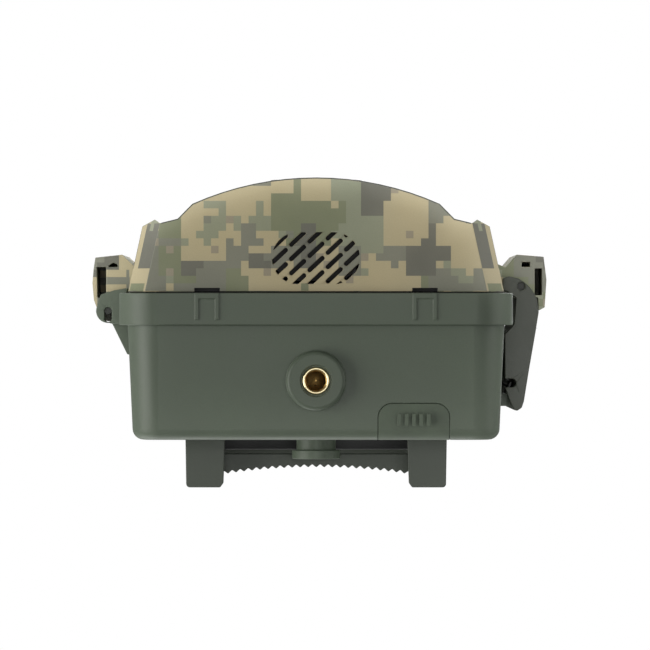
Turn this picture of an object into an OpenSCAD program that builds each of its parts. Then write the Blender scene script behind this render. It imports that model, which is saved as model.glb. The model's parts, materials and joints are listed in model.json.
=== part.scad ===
// Trail camera with a hinged front cover, a side latch and a toothed tree bracket.
// Millimetres, +Z up, the lens looks along -Y, the hinge is at -X.
// The origin is the mouth of the tripod socket in the underside.

/* [Case] */
// Overall height
case_h = 140; // [138:1:144]
// Half width of the housing behind the flange
body_hw = 51.3; // [51:0.1:51.6]
// How far the flange stands out of the housing
flange_step = 2.3; // [2:0.1:2.5]
// How far the snap tabs and the boss stand below the flange
tab_rise = 0.4; // [0.3:0.1:0.6]
// Wall thickness of the plastic shells
wall = 2.2; // [2:0.1:2.4]
// Depth of the housing behind the joint
housing_d = 39.9; // [39.5:0.1:41]

/* [Front] */
// Radius of the curved front
front_r = 82.1; // [80:0.1:84]
// Furthest point of the front from the tripod axis
front_y = 55.1; // [54.8:0.1:55.6]
// Thickness of the front plate
plate_t = 2.4; // [2:0.1:2.6]
// Height of the lens axis
lens_z = 76; // [75:1:78]

/* [Hinge and latch] */
// Radius of the hinge pin
hinge_pin_r = 0.95; // [0.8:0.05:0.97]
// Radius of the latch pin
latch_pin_r = 1; // [0.8:0.05:1.05]
// Wire radius of the latch keeper
keeper_r = 0.8; // [0.6:0.1:0.9]
// Key travel
key_travel = 0.6; // [0.3:0.1:0.8]

/* [Sockets] */
// Wall radius of the quarter inch sockets
socket_r = 2.6; // [2.5:0.05:2.7]
// Radius of the brass inserts
insert_r = 3.7; // [3.6:0.05:3.8]
// Width of the slot for the tree strap
strap_slot_w = 28; // [24:1:30]

/* [Grille] */
// Half width of the slots in the grille
slot_r = 0.6; // [0.5:0.05:0.7]
// Distance between slot columns
slot_pitch_x = 4.96; // [4.6:0.02:5.2]
// Distance between slots in a column
slot_pitch_y = 3.87; // [3.6:0.01:4.1]

/* [Hidden] */
$fn = 48;
far = 60;
corner_r = 9;
flange_z = tab_rise;
body_z0 = flange_z + flange_step;
body_z1 = case_h - body_z0;
inner_z0 = body_z0 + wall;
inner_z1 = body_z1 - wall;

// Housing, front to back
joint_y = -23.8;
flange_back_y = -15.1;
back_y = joint_y + housing_d;
inner_back_y = back_y - wall;
axis_x = body_hw - corner_r;
axis_z0 = body_z0 + corner_r;
axis_z1 = body_z1 - corner_r;
draft = 1.3;
gasket_r0 = 7.5;
gasket_r1 = 8.7;

// Front cover
cover_y = joint_y - 0.3;
side_slope = 0.219;
facet_x = 4.8;
facet_z = 5.6;
shoulder_y = -43.7;
front_hw = 42;
arc_y = front_r - front_y;
panel_y = -24.6;
board_y = -32;
board_t = 1.6;
board_front_y = board_y - board_t;
light_board_y = -44;
grille_y = -33.2;
speaker_y = -34;

// Hinge and latch
hinge = [-57.6, -19];
latch = [56.7, -25.85];
arm_z = [36, 42];
ear_z = [42.3, case_h - 42.3];
cheek_z = [36, 39.6];
latch_ear_z = [40, case_h - 40];
ear_core = 20;
keeper = [54.1, 0.93];
rib_z = 48;

// Batteries
cell_r = 7.05;
cell_l = 50.5;
cell_pitch = 15.5;
cell_y = -5.8;
row_z = [19.6, 75.1];
row_l = 53.9;
tray_z1 = 130.6;

key_r = 3.1;
key_spots = [[30, 109.5], [30, 90.5], [20.5, 100], [39.5, 100], [30, 100], [24, 74], [36, 74]];
panel_screws_at = [[-44, 14], [44, 14], [-44, 70], [44, 70], [-44, 126], [44, 126]];
tray_screws_at = [[-36.5, 30], [36.5, 30], [-36.5, 118], [36.5, 118]];
board_posts_at = [[-37, 18], [37, 18], [-37, 124], [37, 124]];
light_posts_at = [[-27.5, 113], [27.5, 113]];
bracket_screws_at = [[-30.4, 28], [30.4, 28], [-30.4, 112], [30.4, 112]];

// ---------------------------------------------------------------- shared shapes

// Box between two opposite corners
module block(lo, hi) {
    translate(lo) cube(hi - lo);
}

// Cylinder along Y
module rod_y(x, z, r, y0, y1) {
    translate([x, y0, z]) rotate([-90, 0, 0]) cylinder(r = r, h = y1 - y0);
}

// Cylinder along Z
module rod_z(x, y, r, z0, z1) {
    translate([x, y, z0]) cylinder(r = r, h = z1 - z0);
}

// Plan outline raised between two heights
module slab(z0, z1) {
    translate([0, 0, z0]) linear_extrude(z1 - z0) children();
}

// Front-view outline (x, z) raised between two depths
module sheet(y0, y1) {
    translate([0, y1, 0]) rotate([90, 0, 0]) linear_extrude(y1 - y0) children();
}

// Both ends of the camera: the child and its mirror image in the mid plane
module both_ends() {
    children();
    translate([0, 0, case_h]) mirror([0, 0, 1]) children();
}

// A rounded pan about the Y axis. profile holds [distance out from the corner axis, y] points
module pan(profile, ax, z0, z1) {
    for (sx = [0, 1], sz = [0, 1])
        translate([sx ? ax : -ax, 0, sz ? z1 : z0])
            mirror([sx ? 0 : 1, 0, 0]) mirror([0, 0, sz])
                rotate([-90, 0, 0]) rotate_extrude(angle = 90) polygon(profile);
    for (sx = [0, 1])
        translate([sx ? ax : -ax, 0, z0]) mirror([sx ? 0 : 1, 0, 0])
            linear_extrude(z1 - z0) polygon(profile);
    for (sz = [0, 1])
        translate([-ax, 0, sz ? z1 : z0]) mirror([0, 0, sz ? 0 : 1]) rotate([90, 0, 90])
            linear_extrude(2 * ax) polygon([for (p = profile) [p[1], p[0]]]);
    ys = [for (p = profile) p[1]];
    block([-ax, min(ys), z0], [ax, max(ys), z1]);
}

// Quarter circle of points about [cx, cy] from angle a0 to a1
function arc(cx, cy, r, a0, a1, n) = [for (i = [0 : n])
    let (a = a0 + (a1 - a0) * i / n)
    [cx + r * cos(a), cy + r * sin(a)]
];

function unit(v) = v / norm(v);

// Closed clockwise outline moved inwards by d, with mitred corners
function inset(p, d) = [for (i = [0 : len(p) - 1])
    let (
        a = unit(p[i] - p[(i + len(p) - 1) % len(p)]),
        b = unit(p[(i + 1) % len(p)] - p[i]),
        na = [a[1], -a[0]],
        nb = [b[1], -b[0]]
    )
    p[i] + d * (na + nb) / (1 + na * nb)
];

// ---------------------------------------------------------------- front outlines

function side_x(y) = 51.1 + (y - cover_y) * side_slope;

// Half of the front cover's plan, from the joint to the middle of the front
function half_plan(y0) = concat(
    [[side_x(y0), y0], [side_x(-41.9), -41.9], [43.7, -43.7], [42.4, -42.7], [37.5, -43.9]],
    [for (i = [0 : 8]) let (a = 24.1 * (1 - i / 8)) [front_r * sin(a), arc_y - front_r * cos(a)]]
);

function mirrored(p) = [for (i = [len(p) - 2 : -1 : 0]) [-p[i][0], p[i][1]]];

function plan(y0) = concat(half_plan(y0), mirrored(half_plan(y0)));

// Front-view octagon at depth y, pulled in by t
function octagon(y, t) = let (
    x = side_x(y) - t,
    z0 = body_z0 + t,
    z1 = body_z1 - t,
    fx = facet_x - 0.5 * t,
    fz = facet_z - 0.5 * t
) [
    [x - fx, z0], [x, z0 + fz], [x, z1 - fz], [x - fx, z1],
    [fx - x, z1], [-x, z1 - fz], [-x, z0 + fz], [fx - x, z0]
];

// Faceted sides of the cover between two depths, pulled in by t
module cover_sides(y0, y1, t) {
    hull() {
        for (y = [y0, y1])
            sheet(y, y + 0.01) polygon(octagon(y, t));
    }
}

// Solid form of the cover, pulled in by t at the sides and by face_t at the front
module cover_form(y0, t, face_t) {
    intersection() {
        slab(0, case_h) polygon(inset(plan(y0 + face_t), face_t));
        union() {
            cover_sides(shoulder_y - 1, y0, t);
            block([t - front_hw, -far, body_z0 + t], [front_hw - t, shoulder_y + 4, body_z1 - t]);
        }
    }
}

// Everything in front of the face, which is t behind the outline
module before_face(t) {
    difference() {
        translate([-front_hw, -far]) square([2 * front_hw, 20]);
        polygon(inset(plan(0), t));
    }
}

// Strip of the face between two depths behind the outline
module face_strip(t0, t1, hw) {
    intersection() {
        difference() {
            polygon(inset(plan(0), t0));
            polygon(inset(plan(0), t1));
        }
        translate([-hw, -far]) square([2 * hw, 20]);
    }
}

// ---------------------------------------------------------------- housing

module housing_shell() {
    pan(
        concat(
            [[0, flange_back_y], [corner_r, flange_back_y]],
            arc(corner_r - draft - 3, back_y - 3, 3, 0, 90, 6),
            [[0, back_y]]
        ),
        axis_x, axis_z0, axis_z1
    );
    flange_r = corner_r + flange_step;
    pan(
        [[0, joint_y], [flange_r, joint_y], [flange_r, flange_back_y], [0, flange_back_y]],
        axis_x, axis_z0, axis_z1
    );
}

module housing_cavity() {
    r = corner_r - wall;
    pan(
        concat(
            [[0, joint_y - 1], [r, joint_y - 1], [r, flange_back_y]],
            arc(r - draft - 1, inner_back_y - 1, 1, 0, 90, 3),
            [[0, inner_back_y]]
        ),
        axis_x, axis_z0, axis_z1
    );
}

// Ring along the joint between two distances from the corner axes
module joint_ring(r0, r1, y0, y1) {
    difference() {
        pan([[0, y0], [r1, y0], [r1, y1], [0, y1]], axis_x, axis_z0, axis_z1);
        pan([[0, y0 - 1], [r0, y0 - 1], [r0, y1 + 1], [0, y1 + 1]], axis_x, axis_z0, axis_z1);
    }
}

// Outline of the hinge arm, with a round end about the pin
module arm_outline() {
    polygon(concat(
        [[-52.1, -25.4], [-52.6, -23.4], [-52.6, -15.3]],
        [[-56.8, -15.5]],
        arc(hinge[0], hinge[1], 3.35, 85, 190, 8),
        [[-60.3, -21.8], [-59.6, -23.6], [-55.9, -24.7]]
    ));
}

module hinge_slot() {
    translate([hinge[0], hinge[1]]) circle(r = 1.02);
    translate([hinge[0], hinge[1] + 2.05]) circle(r = 1.02);
    translate([hinge[0] - 1.02, hinge[1]]) square([2.04, 2.05]);
}

module hinge_arms() {
    both_ends() {
        slab(arm_z[0], arm_z[1]) arm_outline();
        slab(arm_z[0] + 2, arm_z[1]) polygon([[-56.6, -15.6], [-50.8, -16], [-50.8, -6.6], [-52.4, -7]]);
    }
}

// Raised frame of a snap tab on the flange
module snap_tab(x) {
    difference() {
        block([x - 3.3, joint_y, 0], [x + 3.3, joint_y + 7.3, flange_z + 1.2]);
        block([x - 2.2, joint_y + 1.6, -1], [x + 2.2, joint_y + 7.4, flange_z]);
    }
}

// Outline of the socket cover from below, with round front corners, grown by gap
module cover_outline(gap) {
    for (x = [20.7, 32.4])
        translate([x, 10]) circle(r = 3.8 + gap);
    translate([20.7, 6.2 - gap]) square([11.7, 3.8 + gap]);
    translate([16.9 - gap, 10]) square([19.3 + 2 * gap, 10]);
}

module usb_pocket()
    intersection() {
        union() {
            block([16, 5, 0], [38, far, inner_z0 + 0.1]);
            block([16, back_y - 1.7, 0], [38, far, 10.5]);
            translate([16, 15.2, 9.4]) rotate([0, 90, 0]) cylinder(r = 0.95, h = 22);
        }
        slab(-1, 20) cover_outline(0.1);
    }

module rear_housing() color([0.31, 0.34, 0.29]) {
    difference() {
        union() {
            difference() {
                housing_shell();
                housing_cavity();
                joint_ring(gasket_r0 - 0.1, gasket_r1 + 0.1, joint_y - 1, joint_y + 2);
            }
            // Boss of the tripod socket, outside and inside
            rotate_extrude() polygon(concat(
                [[0, body_z0 + 1], [0, 0], [6.9, 0]],
                arc(6.9, 1.2, 1.2, -75, 0, 5),
                [[8.1, body_z0 + 1]]
            ));
            rod_z(0, 0, 6.2, body_z0 + 1, 15.4);
            // Boss of the rear socket
            rod_y(0, 24, 5.4, back_y - 1, 21.6);
            rod_y(0, 24, 6.6, 19.2, 21.6);
            rod_y(0, 24, 6, 8, back_y - 1);
            hinge_arms();
            for (x = [-29.5, 29.5])
                both_ends() snap_tab(x);
            // Blocks that hold the keeper wire
            both_ends() block([50, 3.8, 41.5], [53.3, 7.4, 46.2]);
            // Stop above the upper cheek of the latch
            block([50, -3, case_h - 34.5], [54.8, 4.4, case_h - 33]);
            // Walls about the pocket of the socket cover
            intersection() {
                block([14.6, 4, body_z0 + 1], [38.5, back_y - 1, 13]);
                housing_shell();
            }
            for (p = tray_screws_at)
                rod_y(p[0], p[1], 3, 3.2, back_y - 1);
            for (z = [19, 60])
                rod_y(36.4, z, 2.2, 10, back_y - 1);
            for (p = bracket_screws_at)
                rod_y(p[0], p[1], 3.4, 10.3, back_y - 1);
        }
        // Relief beside the latch
        block([body_hw + 0.2, joint_y - 1, 34.5], [far, flange_back_y + 0.1, case_h - 34.5]);
        // Tripod socket and the groove about its insert
        rod_z(0, 0, insert_r, -1, 13.6);
        rod_z(0, 0, insert_r + 0.57, -1, 0.7);
        rod_y(0, 24, insert_r, 9.3, far);
        both_ends() slab(arm_z[0] - 1, arm_z[1] + 1) hinge_slot();
        usb_pocket();
        block([18.4, 10.2, 8.8], [34.7, inner_back_y, 14]);
        block([18.4, 7.4, 8.8], [34.7, 10.2, 14]);
        block([21.8, 9.8, 2], [31.2, 13.8, 14]);
        for (p = tray_screws_at)
            rod_y(p[0], p[1], 1.25, 2, 12);
        for (z = [19, 60])
            rod_y(36.4, z, 1, 9, 14);
        for (p = bracket_screws_at)
            rod_y(p[0], p[1], 1.5, 11.2, far);
    }
}

module door_gasket() color([0.05, 0.05, 0.05])
    joint_ring(gasket_r0, gasket_r1, joint_y - 0.15, joint_y + 2);

module insert() {
    difference() {
        cylinder(r = insert_r, h = 12);
        translate([0, 0, -1]) cylinder(r = socket_r, h = 11);
        translate([0, 0, -0.01]) cylinder(r1 = socket_r + 0.5, r2 = socket_r, h = 0.6);
        for (z = [3.2, 6.4])
            translate([0, 0, z]) difference() {
                cylinder(r = insert_r + 1, h = 0.9);
                cylinder(r = insert_r - 0.4, h = 0.9);
            }
    }
}

module tripod_insert() color([0.72, 0.56, 0.22])
    translate([0, 0, 0.2]) insert();

module rear_insert() color([0.72, 0.56, 0.22])
    translate([0, 21.5, 24]) rotate([90, 0, 0]) insert();

// ---------------------------------------------------------------- tree bracket

// Section of a rail, with its inner face at inner_x next to the housing
module rail_outline(inner_x) {
    polygon(concat(
        [[inner_x, back_y + 0.05], [35.8, back_y + 0.05]],
        arc(34.6, 28.4, 1, 0, 90, 4),
        [[inner_x + 1.3, 29.4], [inner_x + 0.4, 28.2]]
    ));
}

// Toothed edge that bites into the bark
module tooth_plate() {
    teeth = 23;
    half = 25.4;
    pitch = 2 * half / teeth;
    edge = [for (i = [0 : 2 * teeth])
        let (x = half - i * pitch / 2)
        [x, 23.3 + 1.9 * (x / half) * (x / half) + (i % 2 == 0 ? 0 : 0.9)]];
    polygon(concat([[-28, 25.1], [-28, 20.4], [28, 20.4], [28, 25.1]], edge));
}

module tree_bracket() color([0.27, 0.3, 0.26]) {
    difference() {
        union() {
            for (s = [0, 1])
                mirror([s, 0, 0]) {
                    slab(20, 23) rail_outline(25);
                    slab(22.9, case_h - 20) rail_outline(26.8);
                }
            both_ends() slab(31, 34.4) tooth_plate();
            // Webs against the housing that tie the rails together
            both_ends() block([-28, back_y + 0.05, 45], [28, back_y + 3.4, 48]);
        }
        // Slots for the tree strap
        block([-far, 18.6, case_h / 2 - strap_slot_w / 2], [far, 24, case_h / 2 + strap_slot_w / 2]);
        for (p = bracket_screws_at) {
            rod_y(p[0], p[1], 1.6, 10, far);
            rod_y(p[0], p[1], 3.1, 20, far);
        }
    }
}

module bracket_screws() color([0.35, 0.36, 0.37])
    for (p = bracket_screws_at)
        difference() {
            union() {
                rod_y(p[0], p[1], 1.45, 11.5, 20.5);
                rod_y(p[0], p[1], 2.9, 20, 22.2);
            }
            rod_y(p[0], p[1], 1.3, 20.9, 23);
        }

// ---------------------------------------------------------------- latch keeper

module keeper_leg(z) {
    a = [keeper[0], keeper[1], z];
    b = [52.2, 5.6, z];
    d = b - a;
    translate(a) rotate([0, 90, atan2(d[1], d[0])]) cylinder(r = keeper_r, h = norm(d));
    translate(a) sphere(r = keeper_r);
}

module latch_keeper() color([0.2, 0.2, 0.2])
    intersection() {
        union() {
            rod_z(keeper[0], keeper[1], keeper_r, 44, case_h - 44);
            keeper_leg(44);
            keeper_leg(case_h - 44);
        }
        block([50, -2, 0], [56, 3.75, case_h]);
    }

// ---------------------------------------------------------------- battery parts

module cell_columns() {
    for (i = [0 : 3])
        translate([(i - 1.5) * cell_pitch, 0, 0]) children();
}

module battery_tray() color([0.08, 0.08, 0.08])
    difference() {
        union() {
            block([-33, -13.5, 18], [33, 3.2, tray_z1]);
            for (p = tray_screws_at)
                block([min(p[0], 0) - 3, 1.2, p[1] - 3.4], [max(p[0], 0) + 3, 3.2, p[1] + 3.4]);
        }
        cell_columns()
            for (z = row_z) {
                rod_z(0, cell_y, cell_r + 0.2, z, z + row_l);
                block([-cell_r - 0.2, -14, z], [cell_r + 0.2, cell_y, z + row_l]);
            }
        // Slots for the ribbon that lifts the cells out
        for (z = row_z)
            block([-40, -14, z + 22], [40, -10.5, z + 32]);
        for (p = tray_screws_at)
            rod_y(p[0], p[1], 1.4, 0, 4);
        for (x = [20, 28])
            rod_y(x, 46, 0.8, 0, 4);
    }

module battery_cells() color([0.45, 0.4, 0.3])
    for (i = [0 : 3], j = [0, 1]) {
        up = (i + j) % 2;
        translate([(i - 1.5) * cell_pitch, cell_y, row_z[j] + (up ? 2.8 : row_l - 2.8)])
            mirror([0, 0, 1 - up]) {
                cylinder(r = cell_r, h = cell_l - 1.2);
                cylinder(r = 2.7, h = cell_l);
            }
    }

module battery_springs() color([0.7, 0.7, 0.7])
    for (i = [0 : 3], j = [0, 1]) {
        up = (i + j) % 2;
        translate([(i - 1.5) * cell_pitch, cell_y, row_z[j] + (up ? 0.5 : row_l - 0.5)])
            mirror([0, 0, 1 - up])
                for (k = [0 : 2])
                    translate([0, 0, 0.4 + 0.7 * k])
                        rotate_extrude() translate([4 - 0.5 * k, 0]) circle(r = 0.33);
    }

module battery_contacts() color([0.75, 0.75, 0.75])
    cell_columns()
        for (z = row_z, e = [0, row_l - 0.4])
            block([-4.4, -10.5, z + e], [4.4, -0.4, z + e + 0.4]);

module battery_terminals() color([0.75, 0.75, 0.75])
    for (x = [20, 28])
        rod_y(x, 46, 0.75, 1.4, 8.4);

module small_screw(x, z, y, head_r, shank_r, l) {
    difference() {
        union() {
            rod_y(x, z, head_r, y - 1.3, y);
            rod_y(x, z, shank_r, y, y + l);
        }
        block([x - head_r, y - 2, z - 0.3], [x + head_r, y - 0.8, z + 0.3]);
        block([x - 0.3, y - 2, z - head_r], [x + 0.3, y - 0.8, z + head_r]);
    }
}

module tray_screws() color([0.5, 0.5, 0.52])
    for (p = tray_screws_at)
        small_screw(p[0], p[1], 1.2, 2.5, 1.2, 9);

module power_board() color([0.1, 0.3, 0.15])
    difference() {
        block([14, 8.4, 14.6], [39, 10, 66]);
        // Notch round the post of a tray screw
        block([33.1, 8, 26.6], [40, 11, 33.4]);
        for (z = [19, 60])
            rod_y(36.4, z, 1.1, 8, 11);
    }

module usb_socket() color([0.7, 0.7, 0.72])
    difference() {
        block([22.3, 10, 5.6], [30.7, 13.6, 18]);
        block([22.9, 10.5, 5], [30.1, 13.1, 12]);
    }

module board_screws() color([0.5, 0.5, 0.52])
    for (z = [19, 60])
        small_screw(36.4, z, 8.4, 1.9, 0.95, 4.5);

// Flat cable from the power board, past the hinge side, to the main board
module flat_cable() color([0.75, 0.72, 0.65])
    slab(50, 62) {
        path = [[14, 8.1], [-38, 8.1], [-44, 3], [-46.3, -8], [-45.2, -24], [-45.6, -29], [-43.6, -31.4],
                [-39.8, -31.7]];
        polygon(concat(
            [for (i = [0 : len(path) - 1]) path[i] + 0.25 * path_normal(path, i)],
            [for (i = [len(path) - 1 : -1 : 0]) path[i] - 0.25 * path_normal(path, i)]
        ));
    }

function path_normal(p, i) = let (
    a = p[max(i - 1, 0)],
    b = p[min(i + 1, len(p) - 1)],
    d = unit(b - a)
) [d[1], -d[0]];

// ---------------------------------------------------------------- rubber socket cover

module usb_cover() color([0.3, 0.34, 0.29]) {
    intersection() {
        union() {
            block([16.9, 6.2, body_z0], [36.2, back_y, 4.8]);
            block([16.9, back_y - 1.5, body_z0], [36.2, back_y, 9.4]);
            translate([16.9, 15.2, 9.4]) rotate([0, 90, 0]) cylinder(r = 0.9, h = 19.3);
        }
        housing_shell();
        slab(0, 20) cover_outline(0);
    }
    // Raised grip ribs
    for (i = [0 : 4])
        block([22 + 2 * i, 8.9, body_z0 - 0.3], [23.1 + 2 * i, 12.3, body_z0 + 0.2]);
    // Plug that closes the socket
    block([23.3, 10.9, 4.7], [29.7, 11.9, 6]);
}

// ---------------------------------------------------------------- front cover

module left_ear() {
    difference() {
        slab(ear_z[0], ear_z[1]) polygon(concat(
            [[-48, -33.6], [-50.7, -31.6], [-53.9, -34.65], [-61.4, -33.85], [-61.9, -30.5], [-62.2, -26.8],
             [-61.8, -22], [-60.9, -19.6]],
            arc(hinge[0], hinge[1], 2.9, 180, 0, 8),
            [[-54.5, -24.5], [-50, -24.5]]
        ));
        // Cored from both ends
        both_ends() slab(ear_z[0] - 1, ear_z[0] + ear_core) {
            polygon([[-61, -31.2], [-58.4, -31.2], [-58.4, -23], [-60.1, -22.2], [-60.8, -23]]);
            polygon([[-57.7, -31.6], [-56.4, -32.4], [-55.2, -31.9], [-55.2, -31.2], [-57.7, -31.2]]);
        }
        rod_z(hinge[0], hinge[1], hinge_pin_r + 0.02, ear_z[0] - 1, ear_z[1] + 1);
    }
}

module right_ear() {
    difference() {
        slab(latch_ear_z[0], latch_ear_z[1])
            polygon([[47, -33.4], [52.6, -31.1], [55.65, -34.65], [63.1, -34.05], [63.9, -27.7], [63.4, -20],
                     [61.7, -19.1], [61.5, -22.7], [60.2, -22.9], [52.4, -22.9], [51.4, -24.5], [50, -24.5]]);
        // Cored from both ends
        both_ends() slab(latch_ear_z[0] - 1, latch_ear_z[0] + ear_core) {
            polygon([[60.6, -30.8], [62.6, -30.8], [62.6, -23.4], [60.6, -23.4]]);
            translate([57, -32.6]) square([2.3, 1.4]);
        }
        rod_z(latch[0], latch[1], latch_pin_r + 0.02, latch_ear_z[0] - 1, latch_ear_z[1] + 1);
    }
}

// Round-ended outline of the grille about depth y
module grille_outline(y, r) {
    for (s = [-4.9, 4.9])
        translate([s, y]) circle(r = r);
    translate([-4.9, y - r]) square([9.8, 2 * r]);
}

module grille_slots() {
    intersection() {
        grille_outline(grille_y, 7);
        for (i = [-2 : 2], j = [-2 : 2])
            translate([slot_pitch_x * i, -31.6 - 0.85 * i + slot_pitch_y * j]) rotate(-43) {
                translate([-2.35, -slot_r]) square([4.7, 2 * slot_r]);
                for (s = [-2.35, 2.35])
                    translate([s, 0]) circle(r = slot_r);
            }
    }
}

module front_cover() color([0.6, 0.57, 0.46]) {
    difference() {
        union() {
            difference() {
                cover_form(cover_y, 0, 0);
                cover_form(cover_y + 4, wall, plate_t);
                slab(0, case_h) before_face(0.3);
                slab(body_z0 + 0.9, body_z1 - 0.9) before_face(plate_t);
                // Recesses in front of the snap tabs
                for (x = [-29.5, 29.5])
                    both_ends() block([x - 3.3, cover_y - 0.9, 0], [x + 3.3, joint_y, inner_z0 - 0.7]);
                slab(0, inner_z0 + 0.1) grille_slots();
            }
            // Posts for the inner panel
            intersection() {
                for (p = panel_screws_at)
                    rod_y(p[0], p[1], 3.2, -46, panel_y - 2);
                cover_form(cover_y, 1, plate_t);
            }
            left_ear();
            right_ear();
        }
        for (p = panel_screws_at)
            rod_y(p[0], p[1], 1.3, -37, 0);
        // Room for the hinge arms as the cover swings
        both_ends() rod_z(hinge[0], hinge[1], 8.9, arm_z[0] - 0.5, arm_z[1] + 0.3);
    }
}

module front_plate() color([0.25, 0.27, 0.23])
    difference() {
        union() {
            slab(body_z0 + 0.9, body_z1 - 0.9) face_strip(0, plate_t, front_hw);
            // Posts for the main board and for the lamp board
            intersection() {
                union() {
                    for (p = board_posts_at)
                        rod_y(p[0], p[1], 2.4, -far, board_front_y);
                    for (p = light_posts_at)
                        rod_y(p[0], p[1], 1.9, -far, light_board_y - board_t);
                }
                slab(body_z0 + 1, body_z1 - 1) polygon(inset(plan(cover_y), 1));
            }
        }
        for (p = board_posts_at)
            rod_y(p[0], p[1], 0.9, -40, 0);
        for (p = light_posts_at)
            rod_y(p[0], p[1], 0.9, -47.8, 0);
        block([-25, -far, 98], [25, -40, 128]);
        rod_y(0, lens_z, 13, -far, -40);
        block([-14, -far, 24], [14, -40, 46]);
        rod_y(-24, 60, 1.8, -far, -40);
        rod_y(24, 60, 1.4, -far, -40);
    }

module hinge_pin() color([0.6, 0.6, 0.62])
    rod_z(hinge[0], hinge[1], hinge_pin_r, arm_z[0] + 0.4, case_h - arm_z[0] - 0.4);

module latch_pin() color([0.6, 0.6, 0.62])
    rod_z(latch[0], latch[1], latch_pin_r, cheek_z[0] + 0.6, case_h - cheek_z[0] - 0.6);

// ---------------------------------------------------------------- optics and lights

module ir_window() color([0.06, 0.02, 0.03])
    intersection() {
        slab(98, 128) face_strip(0.5, 2, 25);
        block([-25, -far, 98], [25, -40, 128]);
    }

module ir_board() color([0.1, 0.25, 0.15])
    difference() {
        block([-30, light_board_y - board_t, 98.4], [30, light_board_y, 127.6]);
        for (p = light_posts_at)
            rod_y(p[0], p[1], 1.1, -50, -40);
    }

module ir_leds() color([0.25, 0.2, 0.3])
    for (i = [0 : 7], j = [0 : 3]) {
        x = (i - 3.5) * 5.8;
        z = 102.5 + 7 * j;
        y = -46.8;
        rod_y(x, z, 2.1, y + 0.7, y + 1.2);
        rod_y(x, z, 1.8, y - 0.6, y + 0.7);
        translate([x, y - 0.6, z]) sphere(r = 1.8);
    }

module lens_hood() color([0.1, 0.1, 0.1])
    difference() {
        rod_y(0, lens_z, 13, -56.2, -51);
        rod_y(0, lens_z, 9.5, -57, -50);
        rod_y(0, lens_z, 10.6, -57, -53.2);
        translate([0, -56.3, lens_z]) rotate([-90, 0, 0]) cylinder(r1 = 12.4, r2 = 10.6, h = 1.9);
    }

module lens_window() color([0.3, 0.35, 0.4, 0.5])
    rod_y(0, lens_z, 10.55, -54.4, -53.2);

module lens_barrel() color([0.12, 0.12, 0.12])
    difference() {
        union() {
            rod_y(0, lens_z, 7.4, -50.8, -40);
            rod_y(0, lens_z, 8.2, -49.4, -45);
            block([-9, -40, lens_z - 9], [9, board_front_y, lens_z + 9]);
        }
        rod_y(0, lens_z, 5.6, -51, -39);
        translate([0, -50.9, lens_z]) rotate([-90, 0, 0]) cylinder(r1 = 7, r2 = 5.6, h = 1.6);
        block([-6.5, -39.5, lens_z - 6.5], [6.5, board_front_y + 1, lens_z + 6.5]);
        for (k = [0 : 4])
            translate([0, -48.8 + 0.8 * k, lens_z]) rotate([-90, 0, 0]) difference() {
                cylinder(r = 9, h = 0.4);
                cylinder(r = 7.9, h = 0.4);
            }
    }

// Lens that fills the barrel's bore: edge thickness t, faces rising by bulge
module lens_disc(y, t, bulge) {
    r = 5.6;
    ball = (r * r + bulge * bulge) / (2 * bulge);
    reach = asin(r / ball);
    face = [for (i = [0 : 5]) let (a = reach * i / 5) [ball * sin(a), t / 2 + bulge - ball + ball * cos(a)]];
    back = [for (i = [5 : -1 : 0]) [face[i][0], -face[i][1]]];
    translate([0, y, lens_z]) rotate([-90, 0, 0]) rotate_extrude() polygon(concat(face, back));
}

module lens_elements() color([0.5, 0.55, 0.6, 0.5]) {
    lens_disc(-47.4, 1.8, 1.2);
    lens_disc(-43.6, 1.4, 0.9);
    lens_disc(-40.6, 1.2, 0.8);
}

module image_sensor() color([0.15, 0.15, 0.2]) {
    block([-5, board_front_y - 1.4, lens_z - 4.5], [5, board_front_y, lens_z + 4.5]);
    block([-3.4, board_front_y - 1.9, lens_z - 2.8], [3.4, board_front_y - 1.4, lens_z + 2.8]);
}

module pir_lens() color([0.8, 0.8, 0.78])
    intersection() {
        union() {
            slab(24, 46) face_strip(0.2, 1.2, 14);
            difference() {
                slab(24, 46) face_strip(1.2, plate_t, 14);
                block([-12.6, -far, 25.4], [12.6, -40, 44.6]);
            }
        }
        block([-14, -far, 24], [14, -40, 46]);
    }

module pir_sensor() color([0.65, 0.65, 0.67]) {
    rod_y(0, 35, 4.1, board_front_y - 4.2, board_front_y - 0.6);
    rod_y(0, 35, 4.6, board_front_y - 0.6, board_front_y);
}

module light_sensor() color([0.5, 0.45, 0.35])
    rod_y(-24, 60, 1.8, -51.2, -46);

module indicator_light() color([0.6, 0.1, 0.1])
    rod_y(24, 60, 1.4, -51.2, -46);

// ---------------------------------------------------------------- boards and sound

module main_board() color([0.1, 0.3, 0.15])
    difference() {
        union() {
            block([-40, board_front_y, 14.5], [40, board_y, 127]);
            // Tab under the end of the flat cable
            block([-42.8, board_front_y, 48], [-39, board_y, 64]);
        }
        for (p = board_posts_at)
            rod_y(p[0], p[1], 1, -40, 0);
    }

module front_screws() color([0.5, 0.5, 0.52]) {
    for (p = board_posts_at)
        board_screw(p[0], board_y, p[1]);
    for (p = light_posts_at)
        board_screw(p[0], light_board_y, p[1]);
}

module board_screw(x, y, z) {
    translate([x, y, z]) rotate([0, 0, 180]) small_screw(0, 0, 0, 1.9, 0.85, 3.6);
}

module speaker() color([0.1, 0.1, 0.1]) {
    slab(5.8, 9.6) grille_outline(speaker_y, 6.7);
    rod_z(0, speaker_y, 5, 9.6, 13.4);
}

module grille_mesh() color([0.03, 0.03, 0.03])
    slab(inner_z0, inner_z0 + 0.5) grille_outline(speaker_y, 6.9);

module microphone() color([0.7, 0.7, 0.7])
    rod_y(20, 60, 2, board_front_y - 2.6, board_front_y);

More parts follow.
